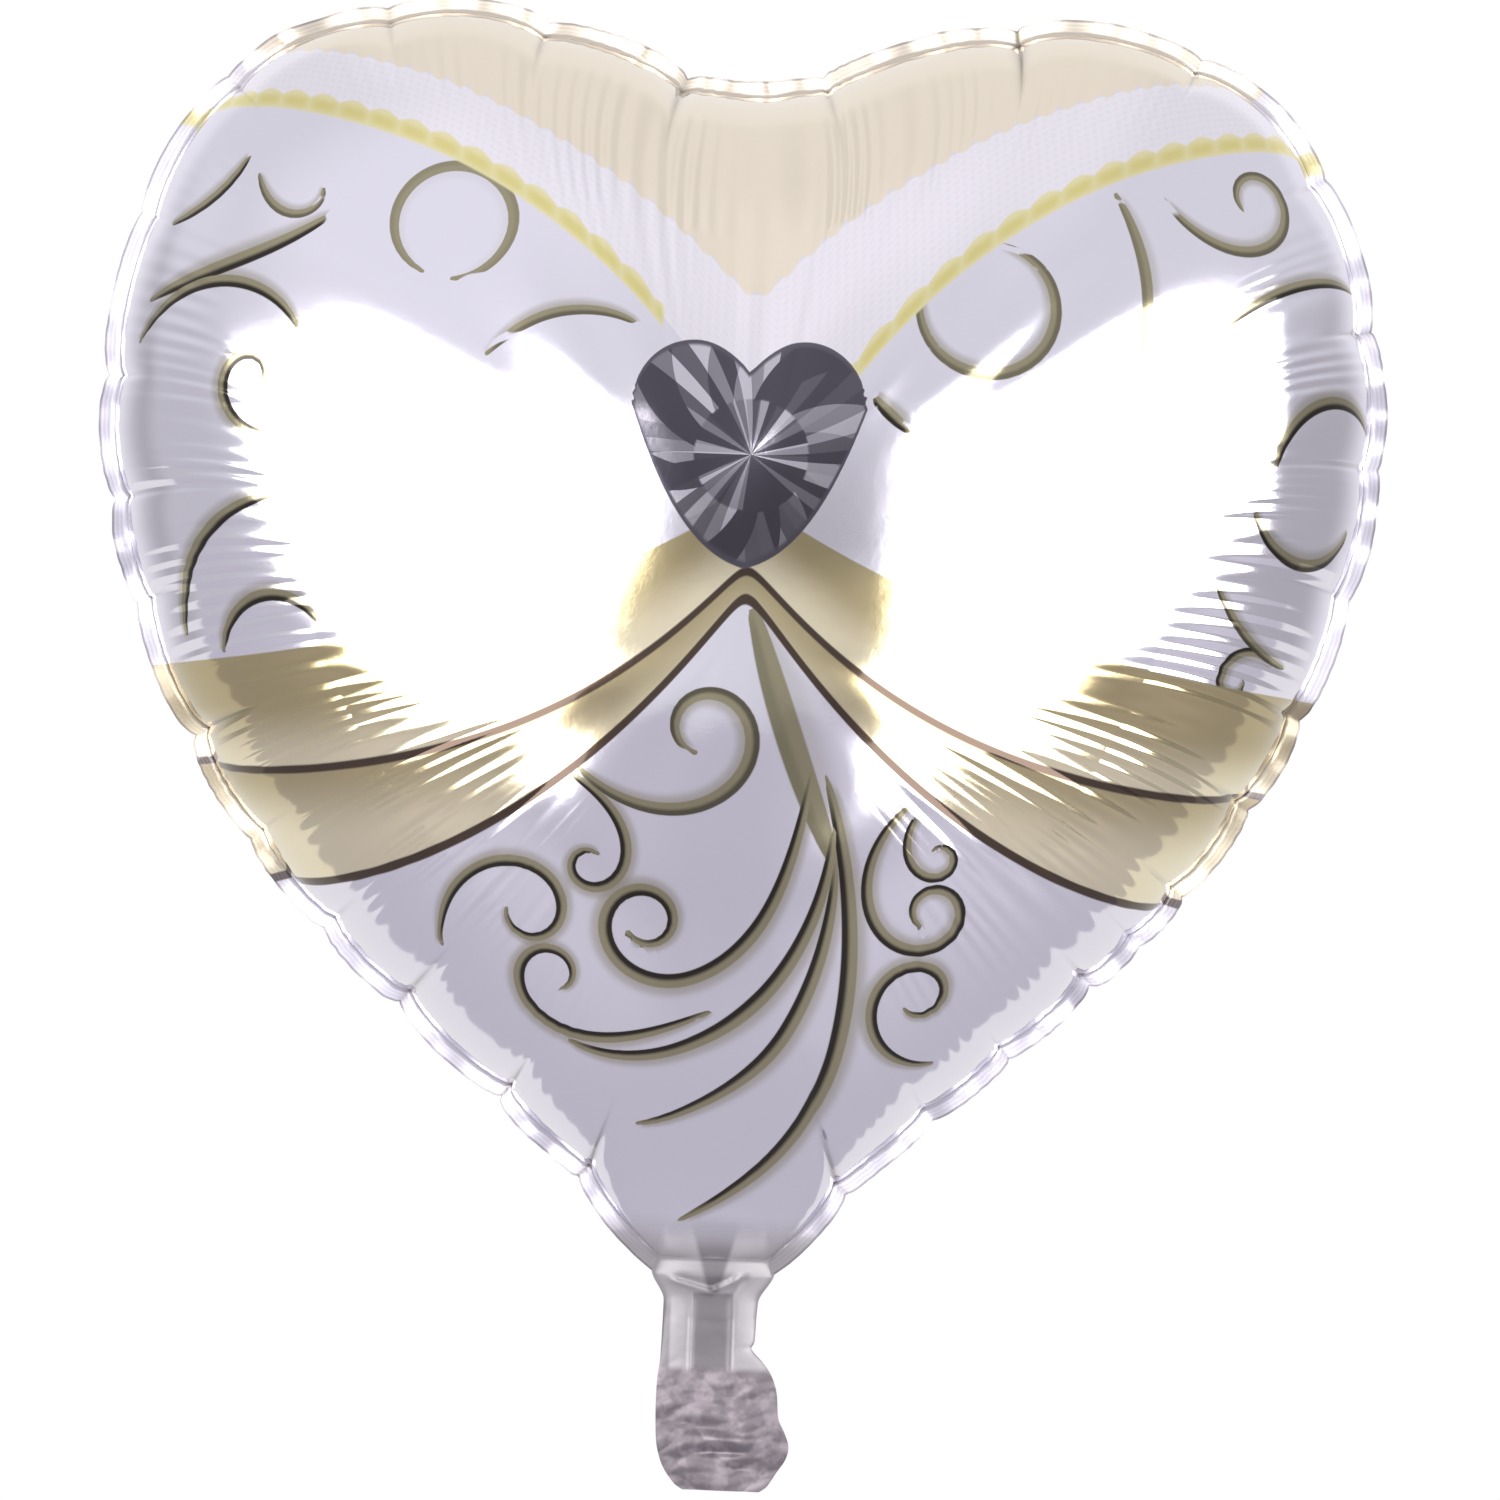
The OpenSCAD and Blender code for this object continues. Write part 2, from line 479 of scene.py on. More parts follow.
        whole = (run[:, -1] + last)[:, None]
        away = flat - pole
        away /= np.linalg.norm(away, axis=-1, keepdims=True)
        paper = np.concatenate([away * (whole - run)[..., None], run[..., None]], -1)
        out[..., 1] *= side.value
        relief, dark = self.relief(angle, run, side)
        point = point + out * relief[..., None]
        dark = np.concatenate([0.6 * dark[:, :1]] * grid.rim_rings + [dark], 1)
        ripple = self.ripple * Wander(self.seed + 9)(np.arange(len(angle)) / len(angle), 20, 70)
        ripple = ripple * (1 - bell(share, 0, self.neck_share))
        mouth = np.clip(1 - (seam[:, 0] / self.mouth) ** 2, 0, 1) ** 0.6 * (seam[:, 1] < 0.03)
        lift = side.value * self.neck_open * mouth[:, None] * smooth(run, 0.02, 0)
        point[..., 1] = side.value * np.maximum(side.value * point[..., 1], 0.0002)
        point[..., 1] += lift + ripple[:, None] * smooth(run, 0.016, 0)
        rim = np.linspace(1, 0, grid.rim_rings + 1)[:-1] * self.outline.seam_w
        outward = np.stack([normal[:, 0], 0 * share, normal[:, 1]], -1)
        edge = point[:, :1] + outward[:, None] * rim[None, :, None]
        gap = side.value * self.weld_gap
        edge[..., 1] += gap + ripple[:, None] * rim / self.outline.seam_w
        point[:, 0, 1] += gap
        welded = rim * (np.abs(seam[:, 0]) > 0.016)[:, None]
        edge_paper = np.concatenate([paper[:, :1, :2] + normal[:, None] * rim[None, :, None],
                                     np.where(seam[:, 1:] > 0.03, -rim, -welded)[..., None]], -1)
        return Film(grid, np.concatenate([edge, point], 1).transpose(1, 0, 2),
                    np.concatenate([edge_paper, paper], 1).transpose(1, 0, 2), dark.T,
                    np.array([0, side.value * middle_y, pole[1]]))


@dataclass
class Film:
    """One film's arrays, ring by ring from the welded edge to the middle.

    Attributes:
        grid: The rings and columns.
        point: Places in space.
        paper: Places in the flat film, from the belly's centre, and run from the seam, in metres.
        dark: How deep in the shade of a crease each place is.
        middle: The pole's place.
    """

    grid: Grid
    point: Array
    paper: Array
    dark: Array
    middle: Array


def mesh_piece(name: str, points: Array, faces: list[Array], side: Side) -> bpy.types.Object:
    """Makes a smooth-shaded mesh object at the origin, and stores where each vertex rests.

    Args:
        name: The piece's name.
        points: Vertices, one a row.
        faces: Arrays of faces, one array for each number of corners, turned to face -Y.
        side: The film, which says whether the faces are turned round.

    Returns:
        The object, linked to the scene.
    """
    mesh = bpy.data.meshes.new(name)
    faces = [f if side is Side.FRONT else f[:, ::-1] for f in faces]
    corners = np.concatenate([f.ravel() for f in faces]).astype(np.int32)
    sizes = np.concatenate([np.full(len(f), f.shape[1]) for f in faces])
    starts = np.concatenate([[0], np.cumsum(sizes)[:-1]]).astype(np.int32)
    mesh.vertices.add(len(points))
    mesh.vertices.foreach_set("co", points.astype(np.float32).ravel())
    mesh.loops.add(len(corners))
    mesh.loops.foreach_set("vertex_index", corners)
    mesh.polygons.add(len(starts))
    mesh.polygons.foreach_set("loop_start", starts)
    mesh.update(calc_edges=True)
    mesh.shade_smooth()
    rest = mesh.attributes.new("rest_mm", "FLOAT_VECTOR", "POINT")
    rest.data.foreach_set("vector", (points / MM).astype(np.float32).ravel())
    piece = bpy.data.objects.new(name, mesh)
    bpy.context.scene.collection.objects.link(piece)
    return piece


@dataclass
class Tail:
    """The filling tail below the neck: two plies round two valve films, folded and crumpled.

    Attributes:
        top_z: Where the tail leaves the neck.
        bottom_z: The tail's cut end.
        split_z: Where the upper stretch ends, halfway between the two creases.
        top_w: Width at the neck.
        end_w: Width at the cut end.
        valve_w: Width of the valve films.
        valve_top: How far the valve reaches up into the belly.
        lap: How far the lower stretch reaches up inside the upper one.
        strip_w: Width of the middle strip between the two sealed bands.
        waves: How many crumples a metre each sum of creased waves has.
        crumple: Height of the loose end's crumples, and of those under the neck.
        slot_z: Height of the bright fold over the filling slot, and of the dark line under it.
        ply_gap: Half the gap between the two plies where they lie flat.
        left: Height and X of the left edge in millimetres, from the crumpled end up.
        right: The same for the right edge, with its notch and its bulge.
        seed: The crumples' seed.
    """

    top_z: float
    bottom_z: float
    split_z: float
    top_w: float
    end_w: float
    valve_w: float
    valve_top: float
    lap: float = 0.004
    strip_w: float = 0.0121
    waves: tuple = (62, 95, 140, 205)
    crumple: tuple = (0.0008, 0.00008)
    slot_z: tuple = (-0.0525, -0.0563)
    ply_gap: float = 0.00035
    left: tuple = ((-68, -7), (-66.5, -9.2), (-62, -12.6), (-56, -14.8), (-48, -15.6), (-36, -15.6),
                   (-29, -14.9), (-15, -14.5), (-4, -14.6), (0, -15.5))
    right: tuple = ((-68, 16), (-66.5, 18), (-62, 21), (-58, 23.5), (-54, 24.3), (-50, 23),
                    (-46, 21.1), (-38, 20.2), (-33, 18.4), (-29, 15.4), (-25.5, 12.3), (-23.5, 13.1),
                    (-15, 13.5), (-4, 14.6), (0, 15.5))
    seed: int = 31

    def place(self, across: Array, z: Array, side: Side, lift: float, limit: float = 1.0) -> Array:
        """Places points of a ply or of a valve film.

        Crumples are a sum of creased waves 0.64 - |sin(pi d)| of the distance d along seeded
        directions close to the tail's own, so they lie across it.

        Args:
            across: Shares of half the width, from -1 to 1.
            z: Heights.
            side: The film.
            lift: 1 for an outer ply, and less for a valve film inside.
            limit: The most that half the width can be.

        Returns:
            Points in space.
        """
        rng = np.random.default_rng(self.seed)
        left, right = (curve(edge, z / MM) * MM for edge in (self.left, self.right))
        x = 0.5 * (left + right) + across * np.minimum(0.5 * (right - left), limit)
        rel = 2 * (x - left) / (right - left) - 1
        strength = self.crumple[0] * smooth(z, -0.028, -0.038)
        strength = strength + self.crumple[1] * smooth(z, -0.004, -0.012)
        crumple = 0 * z
        for waves in self.waves:
            turn, start, curl = rng.uniform(-0.5, 0.5), rng.uniform(0, 1), rng.uniform(90, 260)
            d = (z * math.cos(turn) + x * math.sin(turn)) * waves + start + 0.22 * np.sin(x * curl)
            crumple = crumple + (0.64 - np.abs(np.sin(math.pi * d))) * self.waves[0] / waves
        fold_z, line_z = self.slot_z
        lump = bell(x, 0.004, 0.0085) * (bell(z, fold_z, 0.0019) - 0.8 * bell(z, line_z, 0.0012))
        sag = 0.003 * np.sin((z + 0.02) * 60) * smooth(z, -0.02, -0.05)
        y = strength * crumple + sag - 0.0017 * lump
        flare = 0.0019 * np.clip((z + 0.014) / 0.0104, 0, 1) ** 2
        puff = (0.0026 * smooth(z, -0.045, -0.01) + flare) * np.sqrt(np.clip(1 - rel ** 2, 0, 1))
        fold = bell(np.abs(x), 0.5 * self.strip_w, 0.0008) * smooth(z, -0.007, -0.011)
        fold = fold * smooth(z, -0.034, -0.03)
        below = z + 0.0088 - np.where(x < 0, 0.34, 0.7) * np.hypot(x, 0.0012)
        tuck = bell(below, 0, 0.0007) - 0.8 * bell(below, 0.0016, 0.0009)
        tuck = tuck * smooth(np.abs(x), 0.0115, 0.008)
        puff = puff - 0.00035 * fold + 0.0009 * tuck
        y = y + side.value * lift * (self.ply_gap + np.maximum(puff, 0))
        return np.stack([x, y, z], -1)

    def panel(self, top: float, side: Side, lift: float, bottom: float | None = None,
              limit: float = 1.0, step: float = 0.0005) -> tuple[Array, list[Array]]:
        """A stretch of the tail as a grid.

        Args:
            top: Upper edge.
            side: The film.
            lift: 1 for an outer ply, and less for a valve film.
            bottom: Lower edge, or nothing for the cut end.
            limit: The most that half the width can be.
            step: Size of a cell.

        Returns:
            Points, and an array of four-cornered faces.
        """
        bottom = self.bottom_z if bottom is None else bottom
        columns = round(min(self.end_w, 2 * limit) / step)
        rows = round((top - bottom) / step)
        across, down = np.meshgrid(np.linspace(-1, 1, columns + 1), np.linspace(top, bottom, rows + 1))
        return self.place(across, down, side, lift, limit).reshape(-1, 3), [grid_faces(rows, columns)]


def grid_faces(rows: int, columns: int) -> Array:
    """Quads of a grid whose rows run downwards and whose points run along X, facing -Y."""
    a = np.arange(rows * (columns + 1)).reshape(rows, -1)[:, :-1].ravel()
    return np.stack([a, a + columns + 1, a + columns + 2, a + 1], -1)


@dataclass
class Balloon:
    """The whole balloon, built round the frame's own nodes.

    Attributes:
        outline: The seam line.
        puff: The inflated heart.
        tail: The filling tail.
        flat: Width and length of a foil film laid flat, with its upper tail.
        flat_share: The share of that rectangle which the heart and its tail cover.
        end_share: The share of its rectangle which a tail end covers.
        belly_z: Height of the belly's centre over the neck.
        tail_rows: Cells from the neck to the end of the upper tail.
        neck_bend: Where the films bend at the upper crease, as heights.
        end_bend: Where they bend at the lower crease.
        join: Height over which the upper tail takes on the neck's shape.
        end_lift: How far a loose end opens, as a share of the upper tail's opening.
        valve_lift: The same for a valve film.
        valve_cell: Size of a cell of the valve films.
        middle_run: About how far the film's middle is from the seam.
    """

    outline: Outline
    puff: Puff
    tail: Tail
    flat: tuple = (0.46, 0.465)
    flat_share: float = 0.63
    end_share: float = 0.85
    belly_z: float = 0.186
    tail_rows: int = 16
    neck_bend: tuple = (-0.003, -0.007)
    end_bend: tuple = (-0.023, -0.029)
    join: float = 0.008
    end_lift: float = 0.95
    valve_lift: float = 0.25
    valve_cell: float = 0.001
    middle_run: float = 0.2

    @classmethod
    def from_frame(cls) -> "Balloon":
        """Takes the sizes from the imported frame."""
        low, high = (np.array(v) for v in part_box("front_panel"))
        tail_low, tail_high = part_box("front_tail_ply")
        end_low, end_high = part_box("front_end_ply")
        valve_low, valve_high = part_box("front_valve_film")
        outline = Outline(half_w=high[0], centre_z=cls.belly_z, neck_z=low[2])
        tail = Tail(top_z=low[2], bottom_z=end_low[2], split_z=0.5 * (tail_high[2] + tail_low[2]) - 0.001,
                    top_w=tail_high[0] - tail_low[0], end_w=end_high[0] - end_low[0] + 0.002,
                    valve_w=valve_high[0] - valve_low[0], valve_top=valve_high[2])
        return cls(outline, Puff(outline, half_t=-low[1]), tail)

    def crease(self, piece: bpy.types.Object, lower: bool) -> None:
        """Bakes a piece's transform into its mesh.

        Args:
            piece: The film.
            lower: Whether it is the lower crease; not used.
        """
        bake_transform(piece)

    def film(self, side: Side) -> tuple[bpy.types.Object, Array]:
        """Builds a heart film in one piece with the upper tail.

        Args:
            side: Front or back.

        Returns:
            The piece, and each vertex's place in the flat film and its run from the seam.
        """
        film = self.puff.shape(Grid(), side)
        faces, number = film.grid.polygons()
        used = number >= 0
        points = [film.point[used], film.middle[None]]
        paper = [film.paper[used], np.array([[0, 0, self.middle_run]])]
        top = film.point[0]
        reach = int(np.searchsorted(top[:film.grid.columns // 4, 0], 0.5 * self.tail.top_w + 0.002))
        columns = np.arange(-reach, reach + 1) % film.grid.columns
        z = np.linspace(self.tail.top_z, self.tail.split_z, self.tail_rows + 1)[1:, None]
        rim = top[columns]
        across = (rim[:, 0] / np.abs(rim[:, 0]).max())[None] + 0 * z
        strip = self.tail.place(across, z + 0 * across, side, 1.0)
        start = self.tail.place(across[:1], self.tail.top_z + 0 * across[:1], side, 1.0)
        near = smooth(z, self.tail.top_z - self.join, self.tail.top_z)
        strip = strip + (rim - start) * near[..., None]
        count = sum(len(p) for p in points)
        table = np.vstack([number[0, columns],
                           count + np.arange(strip[..., 0].size).reshape(strip.shape[:2])])
        quads = np.stack([table[:-1, :-1], table[1:, :-1], table[1:, 1:], table[:-1, 1:]], -1)
        faces.append(quads.reshape(-1, 4))
        points.append(strip.reshape(-1, 3))
        fall = self.tail.top_z - z + 0 * across
        down = film.paper[0, columns][None] * (1, 1, 0) - np.stack([0 * fall, fall, 0 * fall], -1)
        paper.append(down.reshape(-1, 3))
        piece = mesh_piece(f"{side.name.lower()}_film", np.concatenate(points), faces, side)
        shade = piece.data.attributes.new("crease_shade", "FLOAT", "POINT")
        dark = np.zeros(len(piece.data.vertices), np.float32)
        dark[:np.count_nonzero(used)] = film.dark[used]
        shade.data.foreach_set("value", dark)
        self.crease(piece, lower=False)
        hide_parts(f"{side.name.lower()}_panel", f"{side.name.lower()}_tail_ply")
        return piece, np.concatenate(paper)

    def end(self, side: Side) -> bpy.types.Object:
        """Builds the lower stretch of a tail ply."""
        word = side.name.lower()
        points, faces = self.tail.panel(self.tail.split_z + self.tail.lap, side, self.end_lift)
        piece = mesh_piece(f"{word}_tail_end", points, faces, side)
        self.crease(piece, lower=True)
        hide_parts(f"{word}_end_ply")
        return piece

    def valve(self, side: Side) -> list[bpy.types.Object]:
        """Builds a valve film in its two stretches."""
        word, tail = side.name.lower(), self.tail
        pieces = []
        for lower, name, top, bottom, nodes in (
                (False, "valve", tail.valve_top, tail.split_z, ("valve_film", "tail_valve_film")),
                (True, "valve_end", tail.split_z + tail.lap, tail.bottom_z, ("end_valve_film",))):
            points, faces = tail.panel(top, side, self.valve_lift, bottom, 0.5 * tail.valve_w,
                                       self.valve_cell)
            piece = mesh_piece(f"{word}_{name}", points, faces, side)
            self.crease(piece, lower)
            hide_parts(*(f"{word}_{node}" for node in nodes))
            pieces.append(piece)
        return pieces

    def declare(self, film: bpy.types.Object, end: bpy.types.Object,
                valves: list[bpy.types.Object]) -> None:
        """Takes one side's films and does nothing with them."""


class Value:
    """A number or a colour in a node tree, whose operators add nodes as Python's add numbers."""

    def __init__(self, socket: bpy.types.NodeSocket) -> None:
        """Keeps the socket that gives the value."""
        self.socket = socket

    @property
    def tree(self) -> bpy.types.NodeTree:
        """The node tree that the value is in."""
        return self.socket.id_data

    def calc(self, kind: str, *others: object) -> "Value":
        """Adds a Math node, such as ADD or SINE, on this number and others."""
        inputs = dict(enumerate((self, *others)))
        return Value(add_node(self.tree, "ShaderNodeMath", inputs, operation=kind).outputs[0])

    def __add__(self, other: object) -> "Value":
        """The sum."""
        return self.calc("ADD", other)

    def __sub__(self, other: object) -> "Value":
        """The difference."""
        return self.calc("SUBTRACT", other)

    def __mul__(self, other: object) -> "Value":
        """The product, which for two masks is where both hold."""
        return self.calc("MULTIPLY", other)

    def __or__(self, other: object) -> "Value":
        """The larger one, which for two masks is where either holds."""
        return self.calc("MAXIMUM", other)

    def __abs__(self) -> "Value":
        """The number without its sign."""
        return self.calc("ABSOLUTE")

    def wave(self, length: float) -> "Value":
        """The sine of the number, with one wave in a length."""
        return (self * (2 * math.pi / length)).calc("SINE")

    def step(self, low: float, high: float) -> "Value":
        """Smooth step from 0 at low to 1 at high, where high may be below low."""
        falls = high < low
        node = add_node(self.tree, "ShaderNodeMapRange",
                        {"Value": self, "From Min": min(low, high), "From Max": max(low, high),
                         "To Min": float(falls), "To Max": float(not falls)},
                        interpolation_type="SMOOTHSTEP")
        return Value(node.outputs["Result"])

    def mix(self, first: object, second: object) -> "Value":
        """Mixes two colours, with this number as the share of the second."""
        node = add_node(self.tree, "ShaderNodeMix", {"Factor": self, 6: first, 7: second},
                        data_type="RGBA")
        return Value(node.outputs[2])


def feed(tree: bpy.types.NodeTree, node: bpy.types.Node, inputs: dict) -> None:
    """Links or sets a node's inputs.

    Args:
        tree: The node's tree.
        node: The node.
        inputs: For each input's name or number, a Value to link, a colour in hex, or a number.
    """
    for key, value in inputs.items():
        if isinstance(value, Value):
            tree.links.new(value.socket, node.inputs[key])
        else:
            node.inputs[key].default_value = linear(value) if isinstance(value, str) else value


def add_node(tree: bpy.types.NodeTree, kind: str, inputs: dict | None = None,
             **settings: object) -> bpy.types.Node:
    """Adds a shader node.

    Args:
        tree: The material's or world's nodes.
        kind: The node's type, such as "ShaderNodeMix".
        inputs: What feed() does with its inputs.
        **settings: The node's own properties.

    Returns:
        The node.
    """
    node = tree.nodes.new(kind)
    for key, value in settings.items():
        setattr(node, key, value)
    feed(tree, node, inputs or {})
    return node


def split(vector: Value) -> list[Value]:
    """Takes a vector apart into its three numbers."""
    parts = add_node(vector.tree, "ShaderNodeSeparateXYZ", {0: vector})
    return [Value(socket) for socket in parts.outputs]


class Surface:
    """A material in the making, round its Principled shader."""

    def __init__(self, name: str) -> None:
        """Makes the material."""
        self.material = bpy.data.materials.new(name)
        self.material.use_nodes = True
        self.tree = self.material.node_tree

    def read(self, name: str, output: str = "Vector") -> Value:
        """Reads an attribute of the mesh, as a vector or as the number Fac."""
        return Value(add_node(self.tree, "ShaderNodeAttribute", attribute_name=name).outputs[output])

    def noise(self, scale: float, detail: float) -> Value:
        """Noise that stays on the film when it folds, with scale features a millimetre."""
        node = add_node(self.tree, "ShaderNodeTexNoise", {"Vector": self.read("rest_mm"),
                                                          "Scale": scale, "Detail": detail,
                                                          "Roughness": 0.6})
        return Value(node.outputs["Fac"])

    def crinkle(self, height: Value, strength: float, depth: float) -> Value:
        """Turns a height into the normal of a crinkled surface, with its depth in metres."""
        node = add_node(self.tree, "ShaderNodeBump",
                        {"Height": height, "Strength": strength, "Distance": depth})
        return Value(node.outputs["Normal"])

    def finish(self, inputs: dict) -> bpy.types.Material:
        """Feeds the shader's inputs and gives the material."""
        feed(self.tree, self.tree.nodes["Principled BSDF"], inputs)
        return self.material


@dataclass(frozen=True)
class BareFoil:
    """Metallised nylon film without print: a faintly pink silver, a mottled duller grey at the crumpled
    end.

    The sealed bands at the tail's sides are bright, and the middle between them darker.
    """

    band: str = "B4B0B5"
    middle: str = "7F7A81"
    dull_dark: str = "80777F"
    dull_light: str = "A1969F"
    metallic: float = 0.16
    roughness: float = 0.42
    middle_x: float = 0.3

    def colour(self, surface: Surface) -> Value:
        """The tail's silver.

        The darker middle starts as a wedge in the neck and goes on as a strip to the crumpled
        end, which is a duller, faintly pink grey all over.

        Args:
            surface: The material that it is for.

        Returns:
            The colour.
        """
        x, _, z = split(surface.read("rest_mm"))
        aside = abs(x - self.middle_x)
        strip = aside.step(6.4, 5.5) * z.step(-8.2, -9.6)
        wedge = (z * -0.27 + aside).step(4.8, 2.9) * z.step(-9.6, -8.2) * z.step(20, 8)
        outer = x.step(-11.6, -12.8) * z.step(-8, -14) * 0.8
        silver = (strip | wedge | outer).mix(self.band, self.middle)
        dull = surface.noise(0.2, 2.0).step(0.38, 0.62).mix(self.dull_dark, self.dull_light)
        return z.step(-30.5, -33).mix(silver, dull)

    def make(self) -> bpy.types.Material:
        """Builds the material, with crinkles of 2 mm that are too small for the mesh."""
        surface = Surface("bare_metallised_film")
        return surface.finish({
            "Base Color": self.colour(surface), "Metallic": self.metallic, "Roughness": self.roughness,
            "Normal": surface.crinkle(surface.noise(0.3, 2.0), 0.2, 0.0005)})


@dataclass(frozen=True)
class ClearFilm:
    """Polyethylene blown film: thin, clear and a little milky, with a soft gloss."""

    tint: str = "E9ECEC"
    haze: str = "D8DCDE"
    roughness: float = 0.3
    ior: float = 1.51
    opacity: float = 0.5

    def make(self) -> bpy.types.Material:
        """Builds the material."""
        surface = Surface("clear_blown_film")
        return surface.finish({
            "Base Color": surface.noise(0.06, 2.0).mix(self.haze, self.tint),
            "Roughness": self.roughness, "IOR": self.ior, "Alpha": self.opacity})


@dataclass(frozen=True)
class Curl:
    """One stroke of scrollwork, in millimetres of flat film from the belly's centre.

    Its heading is heading + turn ((1 - end) u + end u^3), with u the share of its length, so
    a large end winds it up into a curl.
    """

    x: float
    y: float
    heading: float
    length: float
    turn: float
    end: float
    half_w: float = 1.25
    tone: float = 1.0

    def line(self, points: int = 72) -> tuple[Array, Array]:
        """Walks along the stroke.

        Args:
            points: How many points to give.

        Returns:
            The points, and half the stroke's width at each, which swells as sin(pi u)^0.45.
        """
        u = np.linspace(0, 1, points)
        way = np.radians(self.heading + self.turn * ((1 - self.end) * u + self.end * u ** 3))
        step = self.length / (points - 1)
        x = self.x + np.concatenate([[0], np.cumsum(np.cos(way[:-1]))]) * step
        y = self.y + np.concatenate([[0], np.cumsum(np.sin(way[:-1]))]) * step
        return np.stack([x, y], -1), self.half_w * (0.12 + np.sin(np.pi * u) ** 0.45)


@dataclass(frozen=True)
class Print:
    """The printed dress: neckline, lace, trim, sash, gem and scrollwork.

    Everything is in millimetres of flat film, from the belly's centre.

    Attributes:
        axis_x: The print's middle line.
        borders: For each border its name, its height at the middle, how much it rises to the
            side, how fast (the rise is 63% done there), where it starts to rise, and how far
            its middle lies to the right of the print's.
        gem_w: Half the gem's width.
        reach: How far round a stroke the distance from it is worked out.
        farthest: The largest distance that is stored, over half a stroke's width.
        layers: Into how many layers the strokes are sorted, so that near ones don't mix.
        clear: The room that two strokes of a layer leave between them.
        curls: The strokes.
    """

    axis_x: float = 3.0
    borders: tuple = (("neckline", 97, 110, 92, 0, 0), ("trim", 85, 95, 75, 28, 7),
                      ("sash_top", 28, -50, 90, 20, 0), ("sash_mid", 22, -76, 62, 0, 0),
                      ("sash_low", 14, -125, 85, 0, 0))
    gem_w: float = 34.0
    reach: float = 14.0
    farthest: float = 9.0
    layers: int = 4
    clear: float = 13.0
    curls: tuple = (
        Curl(5, 8, -74, 80, 8, 0, 3.6, 0.25), Curl(24, -38, -98, 164, -530, 0.93, 2.0),
        Curl(28, -40, -72, 174, -84, 0.4, 2.4), Curl(32, -66, -90, 116, -80, 0.3, 2.1),
        Curl(31, -55, -92, 124, -112, 0.3, 2.1),
        Curl(-2, -112, 205, 108, -380, 0.95, 1.7), Curl(-89, -101, 92, 98, -390, 0.6, 1.6),
        Curl(-48, -41, -28, 70, -400, 0.8, 1.5), Curl(-45, -39, -45, 114, 410, 0.62, 1.9, 0.7),
        Curl(54, -47, 222, 110, 500, 0.67, 1.7), Curl(57, -49, 230, 46, 380, 0.6, 1.3),
        Curl(70, -135, 178, 92, -430, 0.55, 1.7),
        Curl(-183, 125, 6, 36, 60, 0.2, 1.5), Curl(-150, 137, -76, 36, 200, 0.6, 1.2, 0.6),
        Curl(-190, 101, 12, 70, 24, 1, 2.0), Curl(-194, 88, 48, 72, -112, 0.2, 1.7),
        Curl(-142, 56, 175, 50, -310, 0.5, 1.6), Curl(-88, 102, 0, 106, 340, 0, 1.6, 0.15),
        Curl(-75, 79, 50, 50, -85, 0.2, 1.4, 0.6), Curl(-177, -6, 92, 64, -88, 0, 1.9),
        Curl(-160, -10, 80, 48, -140, 0.1, 1.7), Curl(52, 106, 250, 102, 290, 0, 1.6, 0.5),
        Curl(109, 137, -60, 56, -46, 0, 1.6, 0.3), Curl(124, 137, -58, 92, 400, 0.6, 1.6, 0.6),
        Curl(144, 98, 42, 62, -40, 0, 1.5), Curl(163, 56, 82, 60, -120, 0, 1.8),
        Curl(156, 44, -66, 56, 130, 0, 1.8), Curl(171, -3, 140, 44, 350, 0.6, 1.4),
        Curl(144, 22, -62, 44, 50, 0, 1.3, 0.8), Curl(38, 70, -48, 14, 10, 0, 1.6))

    def sorted_curls(self) -> list[list[Curl]]:
        """Sorts the strokes into layers, so that strokes of one layer stay clear of each other.

        Returns:
            The layers. A stroke joins the first that leaves it enough room, or the roomiest.
        """
        layers: list[list[Curl]] = [[] for _ in range(self.layers)]
        for curl in self.curls:
            line = curl.line()[0][:, None]
            gaps = [min((np.linalg.norm(line - other.line()[0], axis=-1).min() for other in layer),
                        default=math.inf) for layer in layers]
            roomy = [i for i, gap in enumerate(gaps) if gap > self.clear]
            layers[roomy[0] if roomy else int(np.argmax(gaps))].append(curl)
        return layers

    def bands(self, x: Array, y: Array) -> dict[str, Array]:
        """How far each place lies above each border of the print.

        A border's height is start + rise (1 - exp(-(aside - inner) / spread)), with the
        distance aside from its middle rounded off over 3 mm.

        Args:
            x: Places across the flat film.
            y: Places up the flat film.

        Returns:
            For each border, millimetres above it.
        """
        above = {}
        for name, start, rise, spread, inner, lean in self.borders:
            aside = np.hypot(x - self.axis_x - lean, 3.0)
            above[name] = y - (start + rise * (1 - np.exp(-(aside - inner) / spread)))
        return above

    def gem(self, x: Array, y: Array) -> Array:
        """How far each place lies inside the gem's heart shape.

        Its upper border is two arcs that meet in a notch, and its lower border rises from the
        tip as 0.22 a + 0.78 a^2.4, with a the share of the half width.
        """
        a = np.abs(x - self.axis_x + 1) / self.gem_w
        outer = 66 + 20 * np.sqrt(np.clip(1 - ((a - 0.46) / 0.54) ** 2, 0, 1))
        inner = 76 + 10 * np.sin(0.5 * np.pi * np.clip(a / 0.46, 0, 1)) ** 0.8
        upper = np.where(a > 0.46, outer, inner)
        lower = 19 + 47 * (0.22 * a + 0.78 * a ** 2.4)
        return np.minimum(np.minimum(upper - y, 0.75 * (y - lower)), (1 - a) * self.gem_w + 2)

